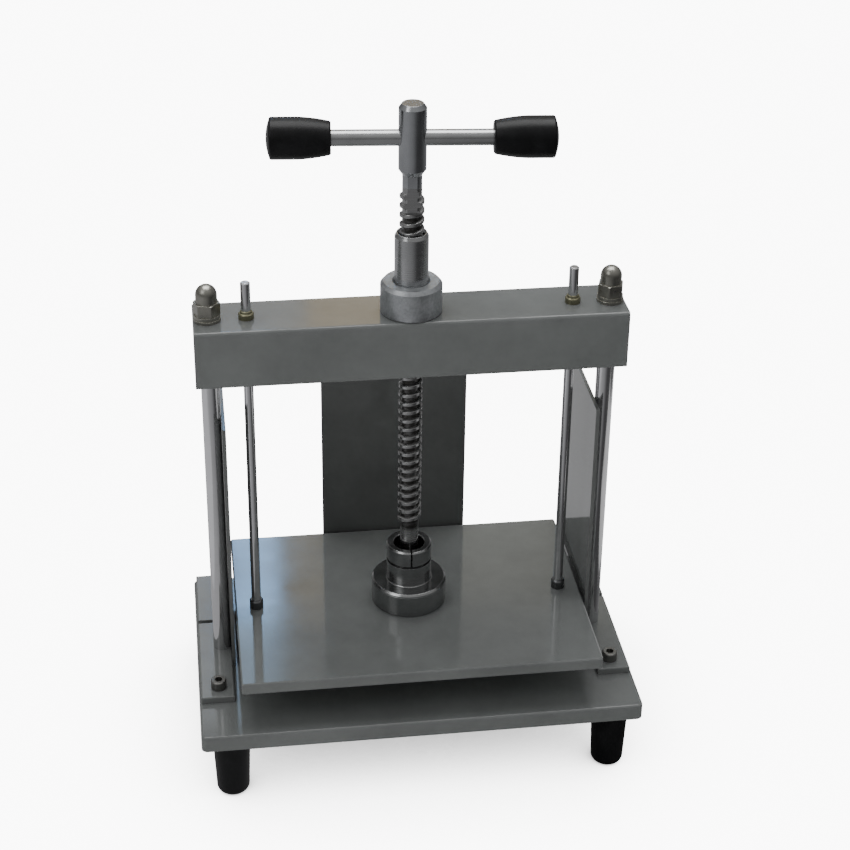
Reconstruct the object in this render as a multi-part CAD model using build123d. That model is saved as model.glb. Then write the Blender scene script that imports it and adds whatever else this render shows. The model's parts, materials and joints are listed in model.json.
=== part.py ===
from build123d import *
import math
import os

# Bench-top screw press for flattening and gluing books, for sheets up to A4.
# Millimetres. +Z up, +X to the operator's right, the operator stands at -Y.
# The origin is on the axis of the press screw, on the surface the feet stand on.

# ---- driving dimensions -------------------------------------------------------
FOOT_HEIGHT = 52.0          # rubber feet, base plate underside above the bench
BASE_WIDTH = 370.0
BASE_FRONT = -117.0         # front and rear edges of the base plate
BASE_REAR = 111.0
BASE_THICK = 15.0

PLATEN_WIDTH = 300.0
PLATEN_DEPTH = 215.0
PLATEN_THICK = 10.5
DAYLIGHT = 34.0             # gap between base plate and platen at rest

RAIL_INNER = 155.2          # side rails, from the centre to each long edge
RAIL_OUTER = 183.0
RAIL_FRONT = -72.0
RAIL_REAR = 108.0
RAIL_THICK = 6.0

GUARD_THICK = 3.0
GUARD_FRONT = -21.0
GUARD_TOP = 248.0           # above the underside of the base plate
BACK_GUARD_WIDTH = 130.0

COLUMN_X = 162.8
COLUMN_DIA = 15.0
STUD_DIA = 12.0

BEAM_LENGTH = 349.0
BEAM_HEIGHT = 50.0
BEAM_FRONT = -25.0
BEAM_REAR = 31.0
BEAM_WALL = 5.0
BEAM_UNDERSIDE = 288.5      # above the underside of the base plate

GUIDE_X = 132.0
GUIDE_DIA = 8.0
GUIDE_TOP = 370.0           # above the underside of the base plate
GUIDE_CLEARANCE = 0.06      # radial, in the bushes

SCREW_DIA = 19.8
SCREW_ROOT_DIA = 15.8
SCREW_LEAD = 8.0
JOURNAL_DIA = 15.6
THREAD_BOTTOM = 134.0       # above the underside of the base plate
THREAD_TOP = 446.0
NECK_DIA = 15.8
HUB_DIA = 22.0
HUB_BOTTOM = 456.0
HUB_TOP = 514.0

BAR_Z = 486.0
BAR_DIA = 13.0
BAR_TURN = -4.9             # degrees, the bar's direction at rest
GRIP_INNER = 62.5           # from the screw axis to each end of a grip
GRIP_OUTER = 110.0
GRIP_DIA = 33.0
GRIP_NECK_DIA = 26.4
GRIP_EDGE = 2.0
GRIP_DOME = 2.5
GRIP_WALL = 4.0             # closed end, past the end of the bar

# ---- levels, all from the bench ----------------------------------------------
BASE_Z0 = FOOT_HEIGHT
BASE_Z1 = BASE_Z0 + BASE_THICK
RAIL_Z1 = BASE_Z1 + RAIL_THICK
PLATEN_Z0 = BASE_Z1 + DAYLIGHT
PLATEN_Z1 = PLATEN_Z0 + PLATEN_THICK
BEAM_Z0 = FOOT_HEIGHT + BEAM_UNDERSIDE
BEAM_Z1 = BEAM_Z0 + BEAM_HEIGHT
GUARD_Z1 = FOOT_HEIGHT + GUARD_TOP
BAR_LEVEL = FOOT_HEIGHT + BAR_Z

HOUSING_HEIGHT = 20.0
HOUSING_DIA = 64.0
HOUSING_NECK_DIA = 38.4
HOUSING_Z1 = PLATEN_Z1 + HOUSING_HEIGHT
CAP_Z1 = HOUSING_Z1 + 2.5
NECK_Z1 = FOOT_HEIGHT + 102.0
COLLAR_Z1 = FOOT_HEIGHT + 116.5

SLEEVE_DIA = 27.4
SLEEVE_Z1 = FOOT_HEIGHT + 407.0
NUT_COLLAR_DIA = 50.0
NUT_COLLAR_Z1 = BEAM_Z1 + 26.5

# ---- fasteners and small parts -------------------------------------------------
FOOT_X = 160.0
FOOT_TOP_DIA = 31.0
FOOT_BOTTOM_DIA = 27.0
FOOT_EDGE = 5.5
FOOT_INSET = 17.0           # foot centre behind the front edge, before the rear edge
FOOT_SCREW_DIA = 5.0
FOOT_RECESS_DIA = 9.6
FOOT_RECESS_DEPTH = 30.0

RAIL_SCREW_X = 168.0
RAIL_SCREW_Y = -58.0
RAIL_SCREW_DIA = 8.0
RAIL_SCREW_HEAD_DIA = 13.0
RAIL_SLOT_Y = 36.0
RAIL_SLOT_WIDTH = 4.5
RAIL_SLOT_DEPTH = 4.0

WASHER_DIA = 22.0
WASHER_THICK = 2.5
SPRING_WASHER_DIA = 21.0
SPRING_WASHER_THICK = 3.0
NUT_ACROSS_FLATS = 19.0
CAP_NUT_HEX = 10.5
CAP_NUT_DOME_DIA = 17.4
CAP_NUT_DOME = 15.0

GUARD_SCREW_DIA = 5.0
GUARD_SCREW_HEAD_DIA = 9.5
GUARD_SCREW_HEAD = 3.0
GUARD_SCREW_X = (-48.0, 0.0, 48.0)

BUSH_DIA = 11.0
BUSH_FLANGE_DIA = 12.6
BUSH_FLANGE = 5.0
BUSH_NECK = 7.0             # neck top above the beam

ROD_COLLAR_DIA = 11.6
ROD_COLLAR_HEIGHT = 8.0
ROD_SPIGOT_DIA = 6.0

BEARING_POCKET_DIA = 32.0
BEARING_FLOOR = 3.0
RACE_OUTER_DIA = 31.4
RACE_THICK = 2.6
BALL_DIA = 4.8
BALL_COUNT = 12
BALL_CIRCLE_DIA = 23.0
SPINDLE_NOSE_DIA = 14.0
SPINDLE_FLANGE_DIA = 27.0
SPINDLE_FLANGE = 5.0
NECK_BORE_DIA = 26.0


def rod(dia, z0, z1, x=0.0, y=0.0):
    """Upright cylinder from z0 to z1."""
    base = (Align.CENTER, Align.CENTER, Align.MIN)
    return Pos(x, y, z0) * Cylinder(dia / 2, z1 - z0, align=base)


def ring(outer, inner, z0, z1, x=0.0, y=0.0):
    """Upright tube from z0 to z1."""
    return rod(outer, z0, z1, x, y) - rod(inner, z0 - 1, z1 + 1, x, y)


def block(x0, x1, y0, y1, z0, z1):
    """Box between two corners."""
    centre = ((x0 + x1) / 2, (y0 + y1) / 2, (z0 + z1) / 2)
    return Pos(*centre) * Box(x1 - x0, y1 - y0, z1 - z0)


def turned(points):
    """Solid of revolution about Z from (radius, height) points."""
    outline = Polyline([(r, 0, z) for r, z in points], close=True)
    return revolve(make_face(outline), Axis.Z)


def hexagon(across_flats, z0, z1, x=0.0, y=0.0):
    """Upright hexagonal prism, two flats facing +Y and -Y."""
    outline = Pos(x, y, z0) * RegularPolygon(across_flats / 2, 6, major_radius=False)
    return extrude(outline, z1 - z0)


def group(solids):
    """Separate solids that share one node."""
    return Compound(children=[s.solid() for s in solids])


# ---- base ----------------------------------------------------------------------
def foot_centres():
    rows = (BASE_FRONT + FOOT_INSET, BASE_REAR - FOOT_INSET)
    return [(side * FOOT_X, y) for y in rows for side in (-1, 1)]


def base_plate():
    plate = block(-BASE_WIDTH / 2, BASE_WIDTH / 2, BASE_FRONT, BASE_REAR, BASE_Z0, BASE_Z1)
    plate = fillet(plate.edges().filter_by(Axis.Z), 5.0)
    plate = fillet(plate.faces().sort_by(Axis.Z)[-1].edges(), 2.0)
    plate = chamfer(plate.faces().sort_by(Axis.Z)[0].edges(), 0.8)
    for x, y in foot_centres():
        plate -= rod(FOOT_SCREW_DIA, BASE_Z0 - 1, BASE_Z0 + 10, x, y)
    for side in (-1, 1):
        plate -= rod(STUD_DIA, BASE_Z0 - 1, BASE_Z1 + 1, side * COLUMN_X)
        plate -= rod(RAIL_SCREW_DIA, BASE_Z0 + 2, BASE_Z1 + 1, side * RAIL_SCREW_X, RAIL_SCREW_Y)
    for x in GUARD_SCREW_X:
        plate -= guard_screw_shank(x)
    return plate


def foot(x, y):
    body = turned([
        (0, 0), (FOOT_BOTTOM_DIA / 2, 0), (FOOT_TOP_DIA / 2, FOOT_HEIGHT), (0, FOOT_HEIGHT),
    ])
    body = fillet(body.edges().sort_by(Axis.Z)[0], FOOT_EDGE)
    body -= rod(FOOT_RECESS_DIA, -1, FOOT_RECESS_DEPTH)
    body -= rod(FOOT_SCREW_DIA, 0, FOOT_HEIGHT + 1)
    return Pos(x, y, 0) * body


def foot_screw(x, y):
    head = rod(FOOT_RECESS_DIA - 1.0, FOOT_RECESS_DEPTH - 4, FOOT_RECESS_DEPTH, x, y)
    shank = rod(FOOT_SCREW_DIA, FOOT_RECESS_DEPTH - 1, BASE_Z0 + 9, x, y)
    slot = Pos(x, y, FOOT_RECESS_DEPTH - 4) * Box(FOOT_RECESS_DIA, 1.6, 2.4)
    return head + shank - slot


# ---- side rails and guards ------------------------------------------------------
def side_rail(side):
    rail = block(RAIL_INNER, RAIL_OUTER, RAIL_FRONT, RAIL_REAR, BASE_Z1, RAIL_Z1)
    rail = chamfer(rail.faces().sort_by(Axis.Z)[-1].edges(), 0.8)
    slot_rows = (RAIL_SLOT_Y - RAIL_SLOT_WIDTH / 2, RAIL_SLOT_Y + RAIL_SLOT_WIDTH / 2)
    rail -= block(RAIL_INNER - 1, RAIL_OUTER + 1, *slot_rows, RAIL_Z1 - RAIL_SLOT_DEPTH, RAIL_Z1 + 1)
    rail -= rod(STUD_DIA, BASE_Z1 - 1, RAIL_Z1 + 1, COLUMN_X)
    rail -= rod(RAIL_SCREW_DIA, BASE_Z1 - 1, RAIL_Z1 + 1, RAIL_SCREW_X, RAIL_SCREW_Y)
    return rail if side > 0 else mirror(rail, Plane.YZ)


def rail_screw(side):
    head = rod(RAIL_SCREW_HEAD_DIA, RAIL_Z1, RAIL_Z1 + 8)
    head = chamfer(head.faces().sort_by(Axis.Z)[-1].edges(), 0.8)
    socket = hexagon(6.0, RAIL_Z1 + 3.5, RAIL_Z1 + 9)
    shank = rod(RAIL_SCREW_DIA, BASE_Z0 + 2.5, RAIL_Z1 + 1)
    return Pos(side * RAIL_SCREW_X, RAIL_SCREW_Y, 0) * (head + shank - socket)


def side_guard(side):
    plate = block(RAIL_INNER - GUARD_THICK, RAIL_INNER, GUARD_FRONT, RAIL_REAR, BASE_Z1, GUARD_Z1)
    plate = chamfer(plate.edges().filter_by(Axis.X).group_by(Axis.Z)[-1], 1.0)
    return plate if side > 0 else mirror(plate, Plane.YZ)


def guard_screw_shank(x):
    start = BASE_REAR - 9
    return Pos(x, start, BASE_Z0 + BASE_THICK / 2) * Rot(-90, 0, 0) * rod(GUARD_SCREW_DIA, 0, 30)


def back_guard():
    half = BACK_GUARD_WIDTH / 2
    plate = block(-half, half, BASE_REAR, BASE_REAR + GUARD_THICK, BASE_Z0, GUARD_Z1)
    plate = fillet(plate.edges().filter_by(Axis.Y).group_by(Axis.Z)[-1], 3.0)
    for x in GUARD_SCREW_X:
        plate -= guard_screw_shank(x)
    return plate


def back_guard_screw(x):
    shank_end = 9 + GUARD_THICK
    shank = rod(GUARD_SCREW_DIA, 0.2, shank_end)
    head = rod(GUARD_SCREW_HEAD_DIA, shank_end, shank_end + GUARD_SCREW_HEAD)
    head = fillet(head.faces().sort_by(Axis.Z)[-1].edges(), 2.0)
    socket = hexagon(3.0, shank_end + 1.2, shank_end + 5)
    screw = shank + head - socket
    return Pos(x, BASE_REAR - 9, BASE_Z0 + BASE_THICK / 2) * Rot(-90, 0, 0) * screw


# ---- columns and crossbeam ------------------------------------------------------
CAP_NUT_Z0 = BEAM_Z1 + WASHER_THICK + SPRING_WASHER_THICK
STUD_TOP = CAP_NUT_Z0 + 15.0


def column(side):
    body = turned([
        (0, BASE_Z0 - 13), (STUD_DIA / 2 - 1, BASE_Z0 - 13), (STUD_DIA / 2, BASE_Z0 - 12),
        (STUD_DIA / 2, RAIL_Z1), (COLUMN_DIA / 2, RAIL_Z1), (COLUMN_DIA / 2, BEAM_Z0),
        (STUD_DIA / 2, BEAM_Z0), (STUD_DIA / 2, STUD_TOP - 1), (STUD_DIA / 2 - 1, STUD_TOP),
        (0, STUD_TOP),
    ])
    return Pos(side * COLUMN_X, 0, 0) * body


def column_foot_washer(side):
    return ring(WASHER_DIA, STUD_DIA, BASE_Z0 - WASHER_THICK, BASE_Z0, side * COLUMN_X)


def hex_nut(z0, z1):
    """Hexagonal nut with both faces chamfered to a round."""
    corner = NUT_ACROSS_FLATS / math.sqrt(3)
    bevel = (corner - NUT_ACROSS_FLATS / 2) * 0.6
    envelope = turned([
        (0, z0), (corner - bevel, z0), (corner, z0 + bevel * 0.6), (corner, z1 - bevel * 0.6),
        (corner - bevel, z1), (0, z1),
    ])
    return hexagon(NUT_ACROSS_FLATS, z0, z1) & envelope


def column_foot_nut(side):
    top = BASE_Z0 - WASHER_THICK
    nut = hex_nut(top - 8, top) - rod(STUD_DIA, top - 10, top + 1)
    return Pos(side * COLUMN_X, 0, 0) * nut


def beam_washer(side):
    return ring(WASHER_DIA, STUD_DIA, BEAM_Z1, BEAM_Z1 + WASHER_THICK, side * COLUMN_X)


def spring_washer(side):
    z0 = BEAM_Z1 + WASHER_THICK
    body = ring(SPRING_WASHER_DIA, STUD_DIA, z0, z0 + SPRING_WASHER_THICK)
    cut = Rot(0, 0, 35) * block(0, SPRING_WASHER_DIA, -0.6, 0.6, z0 - 1, z0 + 5)
    return Pos(side * COLUMN_X, 0, 0) * (body - cut)


def cap_nut(side):
    z0, z1 = CAP_NUT_Z0, CAP_NUT_Z0 + CAP_NUT_HEX
    radius = CAP_NUT_DOME_DIA / 2
    shoulder = z1 + CAP_NUT_DOME - radius
    dome = rod(CAP_NUT_DOME_DIA, z1 - 1, shoulder) + Pos(0, 0, shoulder) * Sphere(radius)
    bore = rod(STUD_DIA, z0 - 1, STUD_TOP + 0.5)
    nut = hex_nut(z0, z1) + dome - bore
    return Pos(side * COLUMN_X, 0, 0) * Rot(0, 0, 12 * side) * nut


def beam_inside(x0, x1):
    wall = BEAM_WALL
    return block(x0, x1, BEAM_FRONT + wall, BEAM_REAR - wall, BEAM_Z0 + wall, BEAM_Z1 - wall)


def crossbeam():
    half = BEAM_LENGTH / 2
    tube = block(-half, half, BEAM_FRONT, BEAM_REAR, BEAM_Z0, BEAM_Z1)
    tube = fillet(tube.edges().filter_by(Axis.X), 3.0)
    cavity = beam_inside(-half - 1, half + 1)
    tube -= fillet(cavity.edges().filter_by(Axis.X), 1.5)
    for side in (-1, 1):
        tube -= rod(STUD_DIA, BEAM_Z0 - 1, BEAM_Z1 + 1, side * COLUMN_X)
        tube -= rod(BUSH_DIA, BEAM_Z0 - 1, BEAM_Z1 + 1, side * GUIDE_X)
    return tube - rod(SLEEVE_DIA, BEAM_Z0 - 1, BEAM_Z1 + 1)


def beam_end_plate(side):
    half, thick = BEAM_LENGTH / 2, 4.0
    plate = beam_inside(half - thick, half)
    plate = fillet(plate.edges().filter_by(Axis.X), 1.5)
    return plate if side > 0 else mirror(plate, Plane.YZ)


def screw_nut():
    bore = SCREW_DIA / 2 + 0.4
    outer = SLEEVE_DIA / 2
    return turned([
        (bore, BEAM_Z0), (outer, BEAM_Z0), (outer, SLEEVE_Z1 - 3), (outer - 1.6, SLEEVE_Z1),
        (bore + 1.2, SLEEVE_Z1), (bore, SLEEVE_Z1 - 2),
    ])


def nut_collar():
    outer, inner = NUT_COLLAR_DIA / 2, SLEEVE_DIA / 2
    return turned([
        (inner, BEAM_Z1), (outer - 1, BEAM_Z1), (outer, BEAM_Z1 + 1), (outer, NUT_COLLAR_Z1 - 3),
        (outer - 2.6, NUT_COLLAR_Z1), (inner + 1.6, NUT_COLLAR_Z1), (inner, NUT_COLLAR_Z1 - 1.6),
    ])


def guide_bush(side):
    bore = GUIDE_DIA / 2 + GUIDE_CLEARANCE
    neck = bore + 0.9
    body = turned([
        (bore, BEAM_Z0), (BUSH_DIA / 2, BEAM_Z0), (BUSH_DIA / 2, BEAM_Z1),
        (BUSH_FLANGE_DIA / 2, BEAM_Z1), (BUSH_FLANGE_DIA / 2, BEAM_Z1 + BUSH_FLANGE - 0.8),
        (BUSH_FLANGE_DIA / 2 - 0.8, BEAM_Z1 + BUSH_FLANGE), (neck, BEAM_Z1 + BUSH_FLANGE),
        (neck, BEAM_Z1 + BUSH_NECK - 0.5), (neck - 0.5, BEAM_Z1 + BUSH_NECK),
        (bore, BEAM_Z1 + BUSH_NECK),
    ])
    return Pos(side * GUIDE_X, 0, 0) * body


# ---- platen and its thrust bearing ----------------------------------------------
HOUSING_SCREW_CIRCLE_DIA = 48.0
HOUSING_SCREW_DIA = 5.0


def housing_screw_centres():
    radius = HOUSING_SCREW_CIRCLE_DIA / 2
    angles = [math.radians(45 + 90 * i) for i in range(4)]
    return [(radius * math.cos(a), radius * math.sin(a)) for a in angles]


def housing_screw_body(length):
    """Countersunk screw pointing up, its head flush with the platen's underside."""
    head, shank = HOUSING_SCREW_DIA, HOUSING_SCREW_DIA / 2
    z0 = PLATEN_Z0
    return turned([(0, z0), (head, z0), (shank, z0 + shank), (shank, z0 + length), (0, z0 + length)])


def platen():
    plate = block(-PLATEN_WIDTH / 2, PLATEN_WIDTH / 2, -PLATEN_DEPTH / 2, PLATEN_DEPTH / 2,
                  PLATEN_Z0, PLATEN_Z1)
    plate = fillet(plate.edges().filter_by(Axis.Z), 2.0)
    plate = chamfer(plate.faces().sort_by(Axis.Z)[-1].edges(), 1.0)
    plate = chamfer(plate.faces().sort_by(Axis.Z)[0].edges(), 0.6)
    for x, y in housing_screw_centres():
        plate -= Pos(x, y, 0) * housing_screw_body(PLATEN_THICK + 1)
    for side in (-1, 1):
        plate -= rod(ROD_SPIGOT_DIA, PLATEN_Z0 - 1, PLATEN_Z1 + 1, side * GUIDE_X)
    return plate


def thrust_housing():
    outer, inner = HOUSING_DIA / 2, BEARING_POCKET_DIA / 2
    floor = PLATEN_Z1 + BEARING_FLOOR
    cup = turned([
        (0, PLATEN_Z1), (outer - 0.8, PLATEN_Z1), (outer, PLATEN_Z1 + 0.8),
        (outer, HOUSING_Z1 - 0.4), (outer - 0.4, HOUSING_Z1), (inner, HOUSING_Z1),
        (inner, floor), (0, floor),
    ])
    for x, y in housing_screw_centres():
        cup -= rod(HOUSING_SCREW_DIA, PLATEN_Z1 - 1, PLATEN_Z1 + 9.5, x, y)
    return cup


def housing_screw(x, y):
    driver = hexagon(3.0, PLATEN_Z0 - 1, PLATEN_Z0 + 2.2)
    return Pos(x, y, 0) * (housing_screw_body(PLATEN_THICK + 9) - driver)


def bearing_cap():
    """Screwed on the housing: its lip keeps the spindle's flange in the pocket."""
    lip, bore = JOURNAL_DIA / 2 + 0.5, NECK_BORE_DIA / 2
    neck, flange = HOUSING_NECK_DIA / 2, HOUSING_DIA / 2
    groove = NECK_Z1 - 1.6
    return turned([
        (lip, HOUSING_Z1), (flange, HOUSING_Z1), (flange, CAP_Z1 - 1.6), (flange - 1.6, CAP_Z1),
        (neck + 0.6, CAP_Z1), (neck, CAP_Z1 + 0.6), (neck, groove), (neck - 1.6, groove),
        (neck - 1.6, NECK_Z1), (bore, NECK_Z1), (bore, HOUSING_Z1 + 4), (lip, HOUSING_Z1 + 4),
    ])


def slotted_collar():
    outer, bore = HOUSING_NECK_DIA / 2, NECK_BORE_DIA / 2
    body = turned([
        (bore, NECK_Z1), (outer - 0.6, NECK_Z1), (outer, NECK_Z1 + 0.6), (outer, COLLAR_Z1 - 1.2),
        (outer - 1.2, COLLAR_Z1), (bore + 0.6, COLLAR_Z1), (bore, COLLAR_Z1 - 0.6),
    ])
    return body - block(-0.7, 0.7, -30, 0, NECK_Z1 - 1, COLLAR_Z1 + 1)


def dust_seal():
    top = NECK_Z1 - 6.0
    return ring(NECK_BORE_DIA, JOURNAL_DIA + 0.8, top - 6, top)


LOWER_RACE_Z0 = PLATEN_Z1 + BEARING_FLOOR
BALL_Z = LOWER_RACE_Z0 + RACE_THICK + BALL_DIA / 2 - 0.5
UPPER_RACE_Z0 = BALL_Z + BALL_DIA / 2 - 0.5
SPINDLE_FLANGE_Z0 = UPPER_RACE_Z0 + RACE_THICK


def race_groove():
    """Ball track with 0.1 mm of room round the balls."""
    track = Pos(BALL_CIRCLE_DIA / 2, 0, BALL_Z) * Rot(90, 0, 0) * Circle(BALL_DIA / 2 + 0.1)
    return revolve(track, Axis.Z)


def lower_race():
    top = LOWER_RACE_Z0 + RACE_THICK
    return ring(RACE_OUTER_DIA, SPINDLE_NOSE_DIA + 2, LOWER_RACE_Z0, top) - race_groove()


def upper_race():
    top = UPPER_RACE_Z0 + RACE_THICK
    return ring(RACE_OUTER_DIA - 1, SPINDLE_NOSE_DIA, UPPER_RACE_Z0, top) - race_groove()


def ball_positions():
    radius = BALL_CIRCLE_DIA / 2
    angles = [2 * math.pi * i / BALL_COUNT for i in range(BALL_COUNT)]
    return [(radius * math.cos(a), radius * math.sin(a), BALL_Z) for a in angles]


def bearing_balls():
    return [Pos(*place) * Sphere(BALL_DIA / 2) for place in ball_positions()]


def ball_cage():
    cage = ring(RACE_OUTER_DIA - 2, SPINDLE_NOSE_DIA + 2.5, BALL_Z - 0.6, BALL_Z + 0.6)
    for place in ball_positions():
        cage -= Pos(*place) * Sphere(BALL_DIA / 2 + 0.1)
    return cage


def guide_rod(side):
    top = FOOT_HEIGHT + GUIDE_TOP
    radius, spigot = GUIDE_DIA / 2, ROD_SPIGOT_DIA / 2
    body = turned([
        (0, PLATEN_Z0 + 0.5), (spigot, PLATEN_Z0 + 0.5), (spigot, PLATEN_Z1), (radius, PLATEN_Z1),
        (radius, top - 0.8), (radius - 0.8, top), (0, top),
    ])
    return Pos(side * GUIDE_X, 0, 0) * body


def rod_collar(side):
    inner, outer = GUIDE_DIA / 2, ROD_COLLAR_DIA / 2
    top = PLATEN_Z1 + ROD_COLLAR_HEIGHT
    body = turned([
        (inner, PLATEN_Z1), (outer, PLATEN_Z1), (outer, top - 1), (outer - 1, top), (inner, top),
    ])
    return Pos(side * GUIDE_X, 0, 0) * body


# ---- screw and handle -----------------------------------------------------------
RIDGE_SUNK = 0.3
SPIGOT_DIA = 10.0
SPIGOT_Z1 = FOOT_HEIGHT + HUB_BOTTOM + 6
FLAT_BOTTOM = FOOT_HEIGHT + 425.0
FLAT_HALF_DEPTH = 6.9       # the two spanner flats, from the axis


def spanner_flats():
    """The two slabs that the flats take off the front and the back."""
    z1 = FOOT_HEIGHT + HUB_BOTTOM
    slab = block(-20, 20, FLAT_HALF_DEPTH, 20, FLAT_BOTTOM, z1)
    turn = Rot(0, 0, BAR_TURN)
    return turn * slab, turn * mirror(slab, Plane.XZ)


def thread_turn(z):
    """Four edges of one turn of the helical ridge: two at its foot, two at its crest."""
    root, crest = SCREW_ROOT_DIA / 2 - RIDGE_SUNK, SCREW_DIA / 2
    foot_half, crest_half = SCREW_LEAD * 0.30, SCREW_LEAD * 0.17
    corners = ((root, -foot_half), (crest, -crest_half), (crest, crest_half), (root, foot_half))
    return [(Pos(0, 0, z + dz) * Helix(SCREW_LEAD, SCREW_LEAD, r)).edge() for r, dz in corners]


def thread_ridge(z0, turns):
    """Right-hand helical ridge with a flat crest, its foot sunk a little into the core."""
    sides = []
    for i in range(turns):
        rims = thread_turn(z0 + i * SCREW_LEAD)
        sides += [Face.make_surface_from_curves(a, b) for a, b in zip(rims, rims[1:] + rims[:1])]
    first = [rim.position_at(0) for rim in thread_turn(z0)]
    last = [rim.position_at(1) for rim in rims]
    ends = [Face(Wire.make_polygon(points, close=True)) for points in (first, last)]
    return Solid(Shell(sides + ends))


def screw_spindle():
    thread_z0, thread_z1 = FOOT_HEIGHT + THREAD_BOTTOM, FOOT_HEIGHT + THREAD_TOP
    turns = int((thread_z1 - thread_z0) / SCREW_LEAD) - 1
    nose, flange = SPINDLE_NOSE_DIA / 2, SPINDLE_FLANGE_DIA / 2
    journal, root, spigot = JOURNAL_DIA / 2, SCREW_ROOT_DIA / 2, SPIGOT_DIA / 2
    flange_z1 = SPINDLE_FLANGE_Z0 + SPINDLE_FLANGE
    nose_z0 = UPPER_RACE_Z0 + 0.2
    core = turned([
        (0, nose_z0), (nose - 1, nose_z0), (nose, nose_z0 + 1), (nose, SPINDLE_FLANGE_Z0),
        (flange, SPINDLE_FLANGE_Z0), (flange, flange_z1), (journal, flange_z1),
        (journal, thread_z0), (root, thread_z0 + 1), (root, thread_z1), (spigot, thread_z1),
        (spigot, SPIGOT_Z1), (0, SPIGOT_Z1),
    ])
    spindle = core + thread_ridge(thread_z1 - (turns + 0.5) * SCREW_LEAD, turns)
    for slab in spanner_flats():
        spindle -= slab
    return spindle - hub_pin_hole()


HUB_PIN_DIA = 3.0
HUB_PIN_Z = FOOT_HEIGHT + 451.5


def along_bar(shape, z):
    """Turns an upright shape to lie along the bar, at height z."""
    return Pos(0, 0, z) * Rot(0, 0, BAR_TURN) * Rot(0, 90, 0) * shape


def hub_pin_hole():
    return along_bar(Cylinder(HUB_PIN_DIA / 2, 40), HUB_PIN_Z)


def hub_pin():
    return along_bar(Cylinder(HUB_PIN_DIA / 2, NECK_DIA - 0.6), HUB_PIN_Z)


def bar_hole():
    return along_bar(Cylinder(BAR_DIA / 2, 60), BAR_LEVEL)


def behind_bar(shape):
    """Turns an upright shape to point to the rear from the bar's middle."""
    return Pos(0, 0, BAR_LEVEL) * Rot(0, 0, BAR_TURN) * Rot(-90, 0, 0) * shape


LOCK_SCREW_DIA = 6.0


def handle_hub():
    z0, z1 = FOOT_HEIGHT + THREAD_TOP, FOOT_HEIGHT + HUB_TOP
    shoulder = FOOT_HEIGHT + HUB_BOTTOM
    neck, outer = NECK_DIA / 2, HUB_DIA / 2
    hub = turned([
        (0, z0), (neck, z0), (neck, shoulder), (outer, shoulder + 4.5), (outer, z1 - 3.5),
        (outer - 2.5, z1), (0, z1),
    ])
    hub -= rod(SPIGOT_DIA, z0 - 1, SPIGOT_Z1 + 0.5)
    hub -= behind_bar(rod(LOCK_SCREW_DIA, 0, HUB_DIA))
    hub -= bar_hole()
    for slab in spanner_flats():
        hub -= slab
    return hub - hub_pin_hole()


def bar_lock_screw():
    """Grub screw at the back of the hub that grips the bar."""
    inner, outer = BAR_DIA / 2, HUB_DIA / 2 - 0.8
    body = rod(LOCK_SCREW_DIA, inner, outer)
    return behind_bar(body - hexagon(3.0, outer - 2.2, outer + 1))


def handle_bar():
    length = 2 * (GRIP_OUTER - GRIP_WALL)
    return along_bar(chamfer(Cylinder(BAR_DIA / 2, length).edges(), 0.8), BAR_LEVEL)


def grip(side):
    """Moulded grip: narrow at its inner end, cylindrical outside, with a domed end."""
    r0, r1, bore = GRIP_NECK_DIA / 2, GRIP_DIA / 2, BAR_DIA / 2
    a, b = GRIP_INNER, GRIP_OUTER
    waist = a + (b - a) * 0.55
    rim = r1 - GRIP_EDGE
    sphere = (rim ** 2 + GRIP_DOME ** 2) / (2 * GRIP_DOME)
    centre = b + GRIP_DOME - sphere
    dome_mid = (rim / 2, 0, centre + math.sqrt(sphere ** 2 - rim ** 2 / 4))
    edge_mid = (rim + GRIP_EDGE * 0.7, 0, b - GRIP_EDGE * 0.3)
    outline = [
        Line((bore, 0, a), (r0 - 1, 0, a)),
        Line((r0 - 1, 0, a), (r0, 0, a + 1)),
        ThreePointArc((r0, 0, a + 1), ((r0 + r1) / 2 + 0.5, 0, (a + waist) / 2), (r1, 0, waist)),
        Line((r1, 0, waist), (r1, 0, b - GRIP_EDGE)),
        ThreePointArc((r1, 0, b - GRIP_EDGE), edge_mid, (rim, 0, b)),
        ThreePointArc((rim, 0, b), dome_mid, (0, 0, b + GRIP_DOME)),
        Line((0, 0, b + GRIP_DOME), (0, 0, b - GRIP_WALL)),
        Line((0, 0, b - GRIP_WALL), (bore, 0, b - GRIP_WALL)),
        Line((bore, 0, b - GRIP_WALL), (bore, 0, a)),
    ]
    body = revolve(make_face(outline), Axis.Z)
    if side < 0:
        body = mirror(body, Plane.XY)
    return along_bar(body, BAR_LEVEL)


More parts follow.
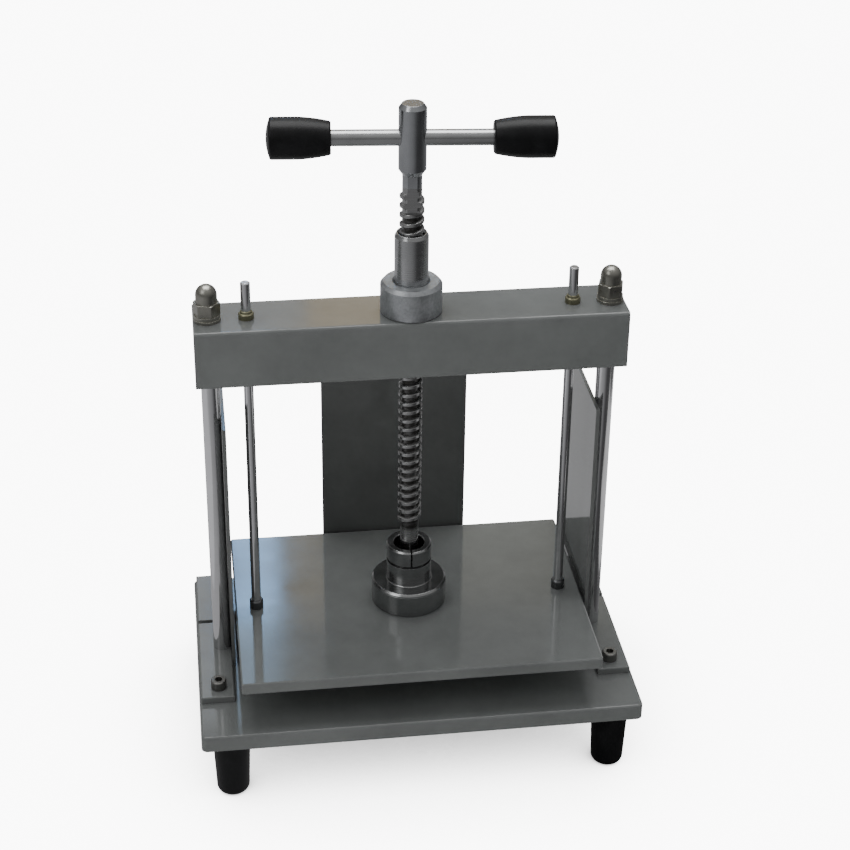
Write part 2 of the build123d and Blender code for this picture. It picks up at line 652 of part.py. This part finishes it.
# ---- every piece by name ----------------------------------------------------------
def pieces():
    sides = {"left": -1, "right": 1}
    nodes = {
        "base_plate": base_plate(),
        "rail_screws": group([rail_screw(s) for s in sides.values()]),
        "back_guard": back_guard(),
        "back_guard_screws": group([back_guard_screw(x) for x in GUARD_SCREW_X]),
        "foot_screws": group([foot_screw(x, y) for x, y in foot_centres()]),
        "column_foot_washers": group([column_foot_washer(s) for s in sides.values()]),
        "column_foot_nuts": group([column_foot_nut(s) for s in sides.values()]),
        "crossbeam": crossbeam(),
        "beam_end_plates": group([beam_end_plate(s) for s in sides.values()]),
        "beam_washers": group([beam_washer(s) for s in sides.values()]),
        "spring_washers": group([spring_washer(s) for s in sides.values()]),
        "screw_nut": screw_nut(),
        "nut_collar": nut_collar(),
        "platen": platen(),
        "thrust_housing": thrust_housing(),
        "housing_screws": group([housing_screw(x, y) for x, y in housing_screw_centres()]),
        "bearing_cap": bearing_cap(),
        "slotted_collar": slotted_collar(),
        "dust_seal": dust_seal(),
        "lower_race": lower_race(),
        "bearing_balls": group(bearing_balls()),
        "ball_cage": ball_cage(),
        "upper_race": upper_race(),
        "screw_spindle": screw_spindle(),
        "handle_hub": handle_hub(),
        "hub_pin": hub_pin(),
        "bar_lock_screw": bar_lock_screw(),
        "handle_bar": handle_bar(),
    }
    paired = {
        "side_rail": side_rail,
        "side_guard": side_guard,
        "column": column,
        "cap_nut": cap_nut,
        "guide_bush": guide_bush,
        "guide_rod": guide_rod,
        "rod_collar": rod_collar,
        "grip": grip,
    }
    for name, make in paired.items():
        for side, sign in sides.items():
            nodes[f"{side}_{name}"] = make(sign)
    foot_names = ("front_left", "front_right", "rear_left", "rear_right")
    for name, (x, y) in zip(foot_names, foot_centres()):
        nodes[f"{name}_foot"] = foot(x, y)
    return nodes


os.makedirs("parts", exist_ok=True)
for node, shape in pieces().items():
    export_step(shape, f"parts/{node}.step")
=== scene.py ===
import json
import math

import bmesh
import bpy
from mathutils import Matrix, Vector

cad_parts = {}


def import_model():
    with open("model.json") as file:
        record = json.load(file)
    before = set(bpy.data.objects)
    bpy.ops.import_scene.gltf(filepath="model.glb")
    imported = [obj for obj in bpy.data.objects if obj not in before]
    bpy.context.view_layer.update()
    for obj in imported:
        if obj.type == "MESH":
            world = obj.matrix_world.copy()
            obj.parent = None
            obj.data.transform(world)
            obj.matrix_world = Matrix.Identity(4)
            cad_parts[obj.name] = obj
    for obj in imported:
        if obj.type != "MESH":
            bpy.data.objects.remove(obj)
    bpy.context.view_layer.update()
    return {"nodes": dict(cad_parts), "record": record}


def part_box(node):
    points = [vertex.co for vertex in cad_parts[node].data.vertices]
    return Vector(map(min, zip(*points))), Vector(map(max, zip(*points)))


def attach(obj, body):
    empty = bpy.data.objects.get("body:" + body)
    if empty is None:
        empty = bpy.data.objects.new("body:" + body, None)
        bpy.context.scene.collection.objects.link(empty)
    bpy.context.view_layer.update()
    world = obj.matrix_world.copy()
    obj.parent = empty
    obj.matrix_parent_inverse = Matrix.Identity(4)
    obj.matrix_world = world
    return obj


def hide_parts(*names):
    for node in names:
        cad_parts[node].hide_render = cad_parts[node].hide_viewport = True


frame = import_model()
nodes = frame["nodes"]

MM = 0.001


# ---- node helpers -----------------------------------------------------------------
COLOUR_A, COLOUR_B, COLOUR_OUT = 6, 7, 2  # the Mix node's sockets for colours


def shade(base, factor, lift=0.0):
    """A colour made lighter or darker, at most 1."""
    return tuple(min(c * factor + lift, 1.0) for c in base)


class Graph:
    """A node tree that is built with short calls."""

    def __init__(self, tree):
        self.tree = tree
        self.tree.nodes.clear()

    def add(self, kind, **props):
        node = self.tree.nodes.new("ShaderNode" + kind)
        for key, value in props.items():
            setattr(node, key, value)
        return node

    def link(self, a, out, b, into):
        self.tree.links.new(a.outputs[out], b.inputs[into])

    def ramp(self, source, out, low, high, a=0.0, b=1.0):
        """Maps a value between two limits to a and b, clamped."""
        node = self.add("MapRange")
        node.inputs["From Min"].default_value = low
        node.inputs["From Max"].default_value = high
        node.inputs["To Min"].default_value = a
        node.inputs["To Max"].default_value = b
        self.link(source, out, node, "Value")
        return node

    def choose(self, path, ray, a, a_out, b, b_out):
        """Shader b for one kind of ray, and shader a for the others."""
        node = self.add("MixShader")
        self.link(path, ray, node, "Fac")
        self.link(a, a_out, node, 1)
        self.link(b, b_out, node, 2)
        return node


class Surface(Graph):
    """One material: a principled shader and the nodes that feed it."""

    def __init__(self, name):
        self.mat = bpy.data.materials.new(name)
        self.mat.use_nodes = True
        super().__init__(self.mat.node_tree)
        self.out = self.add("OutputMaterial")
        self.shader = self.add("BsdfPrincipled")
        self.link(self.shader, "BSDF", self.out, "Surface")
        self.coords = self.add("TexCoord")

    def split(self):
        """The three object coordinates, in metres."""
        node = self.add("SeparateXYZ")
        self.link(self.coords, "Object", node, "Vector")
        return node

    def noise(self, scale, detail=4.0, rough=0.55, stretch=(1, 1, 1)):
        """Noise over the object coordinates, which are multiplied along each axis first."""
        mapping = self.add("Mapping")
        mapping.inputs["Scale"].default_value = stretch
        self.link(self.coords, "Object", mapping, "Vector")
        node = self.add("TexNoise")
        node.inputs["Scale"].default_value = scale
        node.inputs["Detail"].default_value = detail
        node.inputs["Roughness"].default_value = rough
        self.link(mapping, "Vector", node, "Vector")
        return node

    def mix(self, factor, factor_out, a, b):
        """Colour a turns to colour b with the factor. a may be another mix node."""
        node = self.add("Mix", data_type="RGBA")
        self.link(factor, factor_out, node, "Factor")
        for value, socket in ((a, COLOUR_A), (b, COLOUR_B)):
            if isinstance(value, bpy.types.Node):
                self.link(value, COLOUR_OUT, node, socket)
            else:
                node.inputs[socket].default_value = (*value, 1.0)
        return node

    def math(self, operation, a, a_out, b=None, b_out=0, value=None):
        node = self.add("Math", operation=operation)
        self.link(a, a_out, node, 0)
        if b is not None:
            self.link(b, b_out, node, 1)
        if value is not None:
            node.inputs[1].default_value = value
        return node

    def band(self, level, reach, most=0.95):
        """The most at a height in the object, 0 further from it than the reach."""
        away = self.math("SUBTRACT", self.split(), "Z", value=level)
        away = self.math("ABSOLUTE", away, 0)
        ring = self.ramp(away, 0, reach, 0.7 * reach)
        return self.math("MULTIPLY", ring, "Result", value=most)

    def bump(self, source, out, distance, strength=1.0, after=None):
        node = self.add("Bump")
        node.inputs["Distance"].default_value = distance
        node.inputs["Strength"].default_value = strength
        self.link(source, out, node, "Height")
        if after is not None:
            self.link(after, "Normal", node, "Normal")
        return node

    def edges(self, radius=0.5 * MM, samples=6, face=0.995, edge=0.86):
        """1 along the edges of the shape, 0 on its faces. face and edge are how closely the
        rounded normal follows the real one at either."""
        self.rounded = self.add("Bevel", samples=samples)
        self.rounded.inputs["Radius"].default_value = radius
        geometry = self.add("NewGeometry")
        dot = self.add("VectorMath", operation="DOT_PRODUCT")
        self.link(self.rounded, "Normal", dot, 0)
        self.link(geometry, "Normal", dot, 1)
        return self.ramp(dot, "Value", face, edge)

    def finish(self, colour, roughness, normal, **values):
        """Joins the last colour, roughness and bump nodes to the shader, and sets its values."""
        self.link(colour, COLOUR_OUT, self.shader, "Base Color")
        self.link(roughness, 0, self.shader, "Roughness")
        self.link(normal, "Normal", self.shader, "Normal")
        for key, value in values.items():
            self.shader.inputs[key.replace("_", " ")].default_value = value
        return self.mat


# ---- materials --------------------------------------------------------------------
WORN_EDGE = (0.30, 0.29, 0.28)
# painted shade: near-black colour for the ring in the groove under the slotted collar
GROOVE_SHADE_COLOUR = (0.02, 0.02, 0.02)
GREASE = (0.055, 0.053, 0.05)


def paint(name, base, rough):
    """Smooth enamel on steel: faint mottle, fine orange peel, and rubbed edges."""
    s = Surface(name)
    mottle = s.noise(scale=14, detail=5, rough=0.6)
    mottle = s.ramp(mottle, "Fac", 0.35, 0.65)
    colour = s.mix(mottle, "Result", shade(base, 0.9), shade(base, 1.1))
    edge = s.edges()
    patch = s.ramp(s.noise(scale=220, detail=3, rough=0.7), "Fac", 0.50, 0.62)
    worn = s.math("MULTIPLY", edge, "Result", patch, "Result")
    worn = s.math("MULTIPLY", worn, 0, value=0.55)
    colour = s.mix(worn, 0, colour, WORN_EDGE)
    smear = s.noise(scale=9, detail=6, rough=0.65, stretch=(1.0, 2.6, 1.0))
    gloss = s.ramp(smear, "Fac", 0.3, 0.7, rough * 0.75, rough * 1.5)
    wave = s.noise(scale=22, detail=2, rough=0.5)
    wave = s.bump(wave, "Fac", distance=0.05 * MM, strength=0.5, after=s.rounded)
    peel = s.noise(scale=900, detail=2, rough=0.5)
    peel = s.bump(peel, "Fac", distance=0.006 * MM, strength=0.35, after=wave)
    return s.finish(colour, gloss, peel, Metallic=0.0, Specular_IOR_Level=0.5)


def steel(name, base, rough, grain=(1, 1, 1), depth=0.004, spots=0.16, scale=200, painted_shade_at=None):
    """Machined steel: lay marks that the grain stretches, depth in mm, faint stains, brighter
    edges, and where it is asked for a near-black ring of painted shade at one height."""
    s = Surface(name)
    stain = s.ramp(s.noise(scale=35, detail=5, rough=0.6), "Fac", 0.38, 0.66)
    colour = s.mix(stain, "Result", shade(base, 1 + spots * 0.6), shade(base, 1 - spots))
    rubbed = s.math("MULTIPLY", s.edges(), "Result", value=0.6)
    colour = s.mix(rubbed, 0, colour, shade(base, 1.35, 0.03))
    # painted shade: the colour turns near-black in a thin ring at one height, standing in for the
    # groove's shade
    if painted_shade_at is not None:
        colour = s.mix(s.band(painted_shade_at, 1.0 * MM), 0, colour, GROOVE_SHADE_COLOUR)
    lay = s.noise(scale, detail=4, rough=0.6, stretch=grain)
    gloss = s.ramp(lay, "Fac", 0.3, 0.7, rough - 0.05, rough + 0.09)
    marks = s.bump(lay, "Fac", distance=depth * MM, strength=0.6, after=s.rounded)
    return s.finish(colour, gloss, marks, Metallic=1.0)


def dull_zinc(name, base):
    """Hot-dip grey: soft speckle of small crystals over a rough skin."""
    s = Surface(name)
    crystals = s.add("TexVoronoi")
    crystals.inputs["Scale"].default_value = 420
    s.link(s.coords, "Object", crystals, "Vector")
    cloud = s.noise(scale=90, detail=6, rough=0.7)
    dark, light = shade(base, 0.72), shade(base, 1.25)
    colour = s.mix(s.ramp(cloud, "Fac", 0.36, 0.64), "Result", dark, light)
    colour = s.mix(s.ramp(crystals, "Distance", 0.0, 0.9, 0.0, 0.35), "Result", colour, light)
    gloss = s.ramp(cloud, "Fac", 0.3, 0.7, 0.30, 0.44)
    skin = s.noise(scale=700, detail=4, rough=0.7)
    skin = s.bump(skin, "Fac", distance=0.06 * MM, strength=0.6)
    return s.finish(colour, gloss, skin, Metallic=0.85)


def greased_thread(name, base):
    """Turned steel, bright on the crests, with old dark grease left in the roots. The grease
    ends below the flats and above the journal."""
    s = Surface(name)
    split = s.split()
    across = s.add("CombineXYZ")
    s.link(split, "X", across, "X")
    s.link(split, "Y", across, "Y")
    radius = s.add("VectorMath", operation="LENGTH")
    s.link(across, "Vector", radius, 0)
    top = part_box("screw_spindle")[1].z
    root = s.ramp(radius, "Value", 9.3 * MM, 8.1 * MM)
    below_flats = s.ramp(split, "Z", top - 38 * MM, top - 41 * MM)
    above_journal = s.ramp(split, "Z", top - 331 * MM, top - 327 * MM)
    patch = s.noise(scale=160, detail=4, rough=0.6)
    patch = s.ramp(patch, "Fac", 0.30, 0.55, 0.55, 1.0)
    grease = s.math("MULTIPLY", root, "Result", below_flats, "Result")
    for limit in (patch, above_journal):
        grease = s.math("MULTIPLY", grease, 0, limit, "Result")
    streak = s.noise(scale=50, detail=4, rough=0.6, stretch=(1, 1, 30))
    colour = s.mix(s.ramp(streak, "Fac", 0.36, 0.66), "Result", base, shade(base, 0.82))
    colour = s.mix(grease, 0, colour, GREASE)
    gloss = s.ramp(streak, "Fac", 0.3, 0.7, 0.20, 0.32)
    matt = s.math("MULTIPLY", grease, 0, value=0.42)
    gloss = s.math("MAXIMUM", gloss, "Result", matt, 0)
    marks = s.bump(streak, "Fac", distance=0.0015 * MM, strength=0.6)
    return s.finish(colour, gloss, marks, Metallic=1.0)


def moulded(name, base, rough):
    """Black moulded plastic or rubber: fine pebble skin with dusty patches."""
    s = Surface(name)
    dust = s.noise(scale=45, detail=5, rough=0.6)
    dusty = s.ramp(dust, "Fac", 0.45, 0.8)
    colour = s.mix(dusty, "Result", base, shade(base, 2.0, 0.004))
    gloss = s.ramp(dust, "Fac", 0.3, 0.7, rough - 0.05, rough + 0.1)
    pebble = s.noise(scale=1300, detail=3, rough=0.6)
    pebble = s.bump(pebble, "Fac", distance=0.03 * MM, strength=0.5)
    return s.finish(colour, gloss, pebble, Metallic=0.0, Specular_IOR_Level=0.25)


BLACK = (0.0030, 0.0030, 0.0036)
# height of the painted shade ring, a near-black band in the groove where shade falls
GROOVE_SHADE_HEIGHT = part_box("slotted_collar")[0].z - 0.7 * MM  # the groove under the slotted collar
LOOKS = {
    "grey_paint": (paint, dict(base=(0.124, 0.131, 0.129), rough=0.075)),
    "guard_steel": (paint, dict(base=(0.098, 0.103, 0.101), rough=0.10)),
    "chrome_steel": (steel, dict(base=(0.68, 0.68, 0.69), rough=0.12, grain=(1, 1, 0.02),
                                 depth=0.002, spots=0.05, scale=400)),
    "turned_steel": (steel, dict(base=(0.46, 0.465, 0.47), rough=0.22, grain=(1, 1, 30),
                                 depth=0.0012, spots=0.10, scale=50)),
    "dull_steel": (dull_zinc, dict(base=(0.38, 0.395, 0.41))),
    "screw_steel": (greased_thread, dict(base=(0.40, 0.40, 0.40))),
    "zinc_steel": (steel, dict(base=(0.34, 0.335, 0.30), rough=0.30)),
    "bearing_steel": (steel, dict(base=(0.62, 0.62, 0.63), rough=0.12, depth=0.001, spots=0.04)),
    "black_oxide": (steel, dict(base=(0.10, 0.10, 0.10), rough=0.35, spots=0.2)),
    "bush_brass": (steel, dict(base=(0.31, 0.30, 0.20), rough=0.34, grain=(1, 1, 20),
                               spots=0.18, scale=60)),
    "black_plastic": (moulded, dict(base=BLACK, rough=0.36)),
    "black_rubber": (moulded, dict(base=BLACK, rough=0.45)),
    "dark_steel": (steel, dict(base=(0.16, 0.165, 0.17), rough=0.30, grain=(1, 1, 20),
                               depth=0.002, spots=0.12, scale=50)),
    "bolt_steel": (steel, dict(base=(0.20, 0.20, 0.19), rough=0.36, depth=0.003)),
    "hub_steel": (steel, dict(base=(0.42, 0.43, 0.445), rough=0.20, grain=(6, 6, 0.5),
                              depth=0.001, spots=0.12, scale=50)),
    # the housing pieces carry a ring of painted shade in the groove under the slotted collar
    "housing_steel": (steel, dict(base=(0.33, 0.335, 0.335), rough=0.18, grain=(1, 1, 30),
                                  depth=0.0012, spots=0.14, scale=50, painted_shade_at=GROOVE_SHADE_HEIGHT)),
}
MATERIALS = {name: make(name, **values) for name, (make, values) in LOOKS.items()}

# a node looks like its material slot, apart from a few that the photograph shows otherwise
look_of = {s["node"]: s["material_slot"] for s in frame["record"]["subparts"]}
look_of.update(
    left_rod_collar="dark_steel", right_rod_collar="dark_steel", rail_screws="bolt_steel",
    handle_hub="hub_steel", thrust_housing="housing_steel", bearing_cap="housing_steel",
    slotted_collar="housing_steel",
)
for name, obj in nodes.items():
    obj.data.materials.clear()
    obj.data.materials.append(MATERIALS[look_of[name]])


# ---- camera -----------------------------------------------------------------------
YAW, PITCH, ROLL = math.radians(-7.95), math.radians(27.86), math.radians(0.75)
TARGET = Vector((11.7 * MM, 0, 353.0 * MM))
DISTANCE = 1.5342
UP = Vector((0, 0, 1))


def camera():
    """Standing at the front, a little to the left, looking down on the platen."""
    flat = math.cos(PITCH)
    back = Vector((math.sin(YAW) * flat, -math.cos(YAW) * flat, math.sin(PITCH)))
    right = (-back).cross(UP).normalized()
    up = right.cross(-back)
    x_axis = math.cos(ROLL) * right + math.sin(ROLL) * up
    y_axis = -math.sin(ROLL) * right + math.cos(ROLL) * up
    data = bpy.data.cameras.new("camera")
    data.sensor_width = 36.0
    data.lens = 80.0
    data.shift_y = -0.088
    obj = bpy.data.objects.new("camera", data)
    turn = Matrix((x_axis, y_axis, back)).transposed()
    obj.matrix_world = Matrix.Translation(TARGET + back * DISTANCE) @ turn.to_4x4()
    bpy.context.scene.collection.objects.link(obj)
    bpy.context.scene.camera = obj


camera()


# ---- press screw ------------------------------------------------------------------
BAR_TURN = math.radians(-4.9)  # the handle bar about the screw's axis; the flats are square to it

# radii
CREST, ROOT = 9.9 * MM, 7.9 * MM
PILOT, FLANGE, JOURNAL, SPIGOT = 7.0 * MM, 13.5 * MM, 7.8 * MM, 5 * MM
FLAT = 6.9 * MM  # from the axis to a flat
FLATS_CORE = ROOT - 1.2 * MM

# heights from the lower end up
CHAMFER, FLANGE_FROM, FLANGE_THICK = 1 * MM, 2.6 * MM, 5 * MM

# heights from the top down
SPIGOT_LONG, FLATS_CORE_TO = 16 * MM, 26 * MM
CORE_FLATS_TO, FLATS_TO, THREAD_TO = 30 * MM, 37 * MM, 324 * MM

# heights from the thread's lower end, and the length of the collar under the spigot
JOURNAL_BELOW, ROOT_BELOW, ROOT_ABOVE = 4 * MM, 3 * MM, 5 * MM
COLLAR_LONG = 8 * MM

# the thread, in leads or in counts
LEAD = 8.0 * MM
RIDGE_HALF, FLANK, RUN_OUT = 0.34, 0.20, 0.45
TURNS, STEPS_ROUND, STEPS_ACROSS = 38, 52, 22

# small gaps that keep two surfaces apart, and distances that join or cut
ROOT_GAP, FLAT_GAP, STEP = 0.03 * MM, 0.04 * MM, 0.03 * MM
WELD, ON_PLANE = 0.002 * MM, 1e-8


def new_piece(name, made, body, material):
    """Finishes a bmesh as a smooth piece that rides on a CAD body."""
    mesh = bpy.data.meshes.new(name)
    bmesh.ops.recalc_face_normals(made, faces=made.faces)
    made.to_mesh(mesh)
    made.free()
    for face in mesh.polygons:
        face.use_smooth = True
    obj = bpy.data.objects.new(name, mesh)
    bpy.context.scene.collection.objects.link(obj)
    mesh.materials.append(MATERIALS[material])
    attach(obj, body)
    return obj


def lathe(made, points, steps=64):
    """Adds a turned shape from (radius, height) points to a bmesh."""
    angles = [2 * math.pi * i / steps for i in range(steps)]
    rings = []
    for radius, z in points:
        if radius == 0:
            ring = [(0, 0, z)]
        else:
            ring = [(radius * math.cos(a), radius * math.sin(a), z) for a in angles]
        rings.append([made.verts.new(point) for point in ring])
    for a, b in zip(rings, rings[1:]):
        for i in range(steps):
            j = (i + 1) % steps
            corners = [a[i % len(a)], a[j % len(a)], b[j % len(b)], b[i % len(b)]]
            unique = list(dict.fromkeys(corners))
            if len(unique) > 2:
                made.faces.new(unique)


def turn_about_axis(made, angle):
    matrix = Matrix.Rotation(angle, 3, "Z")
    bmesh.ops.rotate(made, verts=made.verts, cent=(0, 0, 0), matrix=matrix)


def ease(x):
    """A smooth step from 0 to 1."""
    x = min(max(x, 0.0), 1.0)
    return x * x * (3 - 2 * x)


def thread(made, first):
    """Adds the thread's surface over the core: a ridge with a rounded crest, a wide root, and
    a run-out at both ends."""
    steps = TURNS * STEPS_ROUND
    rows = []
    for k in range(steps + 1):
        angle = 2 * math.pi * k / STEPS_ROUND
        run_out = ease(min(k, steps - k) / (STEPS_ROUND * RUN_OUT))
        row = []
        for j in range(STEPS_ACROSS + 1):
            p = j / STEPS_ACROSS - 0.5
            ridge = ease((RIDGE_HALF - abs(p)) / FLANK)
            radius = ROOT + ROOT_GAP + (CREST - ROOT - ROOT_GAP) * ridge * run_out
            z = first + LEAD * (k / STEPS_ROUND + p)
            row.append(made.verts.new((radius * math.cos(angle), radius * math.sin(angle), z)))
        rows.append(row)
    for a, b in zip(rows, rows[1:]):
        for j in range(STEPS_ACROSS):
            made.faces.new((a[j], b[j], b[j + 1], a[j + 1]))


def press_screw():
    """The whole spindle: thrust end, journal, rounded single-start thread, flats, spigot."""
    low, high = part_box("screw_spindle")
    top = high.z
    shoulder = top - SPIGOT_LONG
    first = top - THREAD_TO
    flange = low.z + FLANGE_FROM
    made = bmesh.new()
    lathe(made, [
        (0, low.z), (PILOT - CHAMFER, low.z), (PILOT, low.z + CHAMFER), (PILOT, flange),
        (FLANGE, flange), (FLANGE, flange + FLANGE_THICK), (JOURNAL, flange + FLANGE_THICK),
        (JOURNAL, first - JOURNAL_BELOW), (ROOT, first - ROOT_BELOW),
        (ROOT, first + ROOT_ABOVE), (0, first + ROOT_ABOVE),
    ])
    lathe(made, [
        (0, top - FLATS_CORE_TO), (FLATS_CORE, top - FLATS_CORE_TO),
        (FLATS_CORE, shoulder - COLLAR_LONG), (ROOT, shoulder - COLLAR_LONG),
        (ROOT, shoulder), (SPIGOT, shoulder), (SPIGOT, top), (0, top),
    ])
    core = set(made.verts)
    thread(made, first)
    for vert in core:
        if vert.co.z > top - CORE_FLATS_TO:
            local = Matrix.Rotation(-BAR_TURN, 3, "Z") @ vert.co
            local.y = min(max(local.y, FLAT_GAP - FLAT), FLAT - FLAT_GAP)
            vert.co = Matrix.Rotation(BAR_TURN, 3, "Z") @ local
    bmesh.ops.remove_doubles(made, verts=made.verts, dist=WELD)
    cut_flats(made, top - FLATS_TO)
    close_ends(made, (low.z + top) / 2)
    obj = new_piece("press_screw", made, "screw", "screw_steel")
    crease_by_angle(obj, degrees=24)
    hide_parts("screw_spindle")


def cut_flats(made, level):
    """Two spanner flats, square to the bar, from a level up to the hub."""
    turn_about_axis(made, -BAR_TURN)
    for height in (level, level + STEP):
        everything = made.verts[:] + made.edges[:] + made.faces[:]
        bmesh.ops.bisect_plane(made, geom=everything, dist=ON_PLANE,
                               plane_co=(0, 0, height), plane_no=(0, 0, 1))
    for side in (-1, 1):
        faces = [f for f in made.faces if f.calc_center_median().z > level]
        edges = list({e for f in faces for e in f.edges})
        verts = list({v for f in faces for v in f.verts})
        bmesh.ops.bisect_plane(made, geom=verts + edges + faces, dist=ON_PLANE,
                               plane_co=(0, side * FLAT, 0), plane_no=(0, side, 0))
    for vert in made.verts:
        if vert.co.z > level + STEP / 2:
            vert.co.y = min(max(vert.co.y, -FLAT), FLAT)
    turn_about_axis(made, BAR_TURN)


def close_ends(made, middle):
    """Caps the thread's two open ends with fans that lie inside the core."""
    rims = [e for e in made.edges if e.is_boundary]
    for below in (True, False):
        rim = [e for e in rims if (e.verts[0].co.z < middle) == below]
        height = sum(e.verts[0].co.z for e in rim) / len(rim)
        tip = made.verts.new((0, 0, height))
        for edge in rim:
            made.faces.new((edge.verts[0], edge.verts[1], tip))


def crease_by_angle(obj, degrees):
    """Smooth faces with sharp edges where the shape turns more than the angle."""
    made = bmesh.new()
    made.from_mesh(obj.data)
    for edge in made.edges:
        if len(edge.link_faces) == 2:
            edge.smooth = edge.calc_face_angle(0) < math.radians(degrees)
    made.to_mesh(obj.data)
    made.free()


press_screw()


# ---- studio -----------------------------------------------------------------------
FLOOR_HALF = 20.0
FLOOR_COLOUR = (0.82, 0.82, 0.82, 1)
# reach of the painted contact shadow on the floor
SHADOW_REACH = 0.16
ROOM_WHITE = 10.0  # far over 1, so that the camera sees plain white
SOFT_LIGHT = 0.84
ROOM_LEVEL, ROOM_OVERHEAD = 0.16, 0.71  # the reflected room, at eye level and overhead

# the bench as the steel reflects it: how light it is in each direction round the press, from
# the left (0) by the front (0.25), the right (0.5) and behind (0.75) to the left again (1)
BENCH_STOPS = (
    (0.0, 0.42), (0.12, 0.40), (0.24, 0.27), (0.33, 0.07), (0.44, 0.06), (0.53, 0.16),
    (0.64, 0.34), (0.71, 0.60), (0.80, 0.60), (0.88, 0.42), (1.0, 0.42),
)


def bench_glow(graph):
    """Emission whose level follows the direction round the press."""
    split = graph.add("SeparateXYZ")
    graph.link(graph.add("TexCoord"), "Object", split, "Vector")
    angle = graph.add("Math", operation="ARCTAN2")
    graph.link(split, "Y", angle, 0)
    graph.link(split, "X", angle, 1)
    turn = graph.ramp(angle, "Value", -math.pi, math.pi)
    zones = graph.add("ValToRGB")
    ramp = zones.color_ramp
    while len(ramp.elements) < len(BENCH_STOPS):
        ramp.elements.new(0.5)
    for element, (at, level) in zip(ramp.elements, BENCH_STOPS):
        element.position = at
        element.color = (level, level, level * 1.02, 1)
    bench = graph.add("Emission")
    graph.link(turn, "Result", zones, "Fac")
    graph.link(zones, "Color", bench, "Color")
    return bench


def floor():
    """Pale floor that glows white to the camera, with a painted contact shadow where ambient
    occlusion dims the glow near the press. Reflections in the steel see it as a darker bench,
    lighter to the sides.
    """
    mesh = bpy.data.meshes.new("floor")
    made = bmesh.new()
    bmesh.ops.create_grid(made, x_segments=8, y_segments=8, size=FLOOR_HALF)
    made.to_mesh(mesh)
    made.free()
    obj = bpy.data.objects.new("floor", mesh)
    bpy.context.scene.collection.objects.link(obj)
    mat = bpy.data.materials.new("studio_floor")
    mat.use_nodes = True
    graph = Graph(mat.node_tree)
    path = graph.add("LightPath")
    diffuse = graph.add("BsdfDiffuse")
    diffuse.inputs["Color"].default_value = FLOOR_COLOUR
    # painted shadow: ambient occlusion dims the glow that the camera sees near the press
    occlusion = graph.add("AmbientOcclusion", samples=12)
    occlusion.inputs["Distance"].default_value = SHADOW_REACH
    glow = graph.add("Emission")
    level = graph.ramp(occlusion, "AO", 0.15, 0.95, 0.5, ROOM_WHITE)
    graph.link(level, "Result", glow, "Strength")
    bench = bench_glow(graph)
    unseen = graph.choose(path, "Is Glossy Ray", diffuse, "BSDF", bench, "Emission")
    seen = graph.choose(path, "Is Camera Ray", unseen, "Shader", glow, "Emission")
    graph.link(seen, "Shader", graph.add("OutputMaterial"), "Surface")
    mesh.materials.append(mat)


def world():
    """White to the camera, soft light for shading, and a dimmer room in the reflections."""
    made = bpy.data.worlds.new("studio")
    made.use_nodes = True
    graph = Graph(made.node_tree)
    path, split = graph.add("LightPath"), graph.add("SeparateXYZ")
    white, soft, room = (graph.add("Background") for _ in range(3))
    white.inputs["Strength"].default_value = ROOM_WHITE
    soft.inputs["Strength"].default_value = SOFT_LIGHT
    graph.link(graph.add("TexCoord"), "Generated", split, "Vector")
    level = graph.ramp(split, "Z", 0.0, 1.0, ROOM_LEVEL, ROOM_OVERHEAD)
    graph.link(level, "Result", room, "Strength")
    unseen = graph.choose(path, "Is Glossy Ray", soft, "Background", room, "Background")
    seen = graph.choose(path, "Is Camera Ray", unseen, "Shader", white, "Background")
    graph.link(seen, "Shader", graph.add("OutputWorld"), "Surface")
    bpy.context.scene.world = made


def softbox(name, place, aim, width, height, radiance, colour=(1, 1, 1), mirrored=False):
    """Rectangular soft light. radiance is how bright its face looks. A mirrored one only
    shows in gloss."""
    data = bpy.data.lights.new(name, "AREA")
    data.shape = "RECTANGLE"
    data.size, data.size_y = width, height
    data.energy = radiance * math.pi * width * height
    data.color = colour
    obj = bpy.data.objects.new(name, data)
    obj.location = place
    obj.rotation_euler = (Vector(aim) - Vector(place)).to_track_quat("-Z", "Y").to_euler()
    obj.visible_diffuse = not mirrored
    bpy.context.scene.collection.objects.link(obj)


floor()
world()
softbox("top_light", (0.0, 0.5, 2.4), (0, 0, 0.2), 1.8, 1.4, radiance=4.7)
softbox("key_light", (-1.5, -1.0, 1.9), (0, 0, 0.3), 0.9, 0.9, radiance=2.4)

# a far wall behind the press, seen only in the gloss: a window and its frame, plaster and a
# wooden door, each with its x and z, width and height, radiance and colour
WALL_Y = 5.0
WALL_AIM = (0, 0, 0.25)
for name, x, z, width, height, radiance, colour in (
    ("window_light", 0.02, 3.46, 0.20, 0.46, 6.7, (0.52, 0.95, 1.6)),
    ("window_top_light", 0.01, 3.9, 0.20, 0.42, 2.3, (0.55, 0.95, 1.45)),
    ("wall_light", -0.34, 3.6, 0.44, 0.9, 1.7, (0.97, 1.0, 1.04)),
    ("frame_light", 0.22, 3.4, 0.18, 0.6, 0.85, (1.0, 0.78, 0.42)),
    ("plaster_light", 1.03, 3.39, 1.4, 0.6, 0.50, (1.0, 0.96, 0.72)),
    ("sill_light", -0.1, 2.87, 0.70, 0.46, 0.65, (1.0, 0.95, 0.88)),
    ("door_light", 0.48, 2.87, 0.44, 0.42, 1.25, (1.0, 0.70, 0.27)),
):
    softbox(name, (x, WALL_Y, z), WALL_AIM, width, height, radiance, colour, mirrored=True)

# pale boards on the bench beside the press, facing up, seen only in the chrome of the columns
BOARD_Y, BOARD_Z = 0.05, 0.006
for name, x, width, length, radiance, colour in (
    ("right_board_light", 0.52, 0.34, 0.7, 0.55, (1, 1, 1)),
    ("left_board_light", -0.56, 0.40, 0.9, 0.24, (0.97, 0.98, 1.03)),
):
    place, aim = (x, BOARD_Y, BOARD_Z), (x, BOARD_Y, 1.0)
    softbox(name, place, aim, width, length, radiance, colour, mirrored=True)
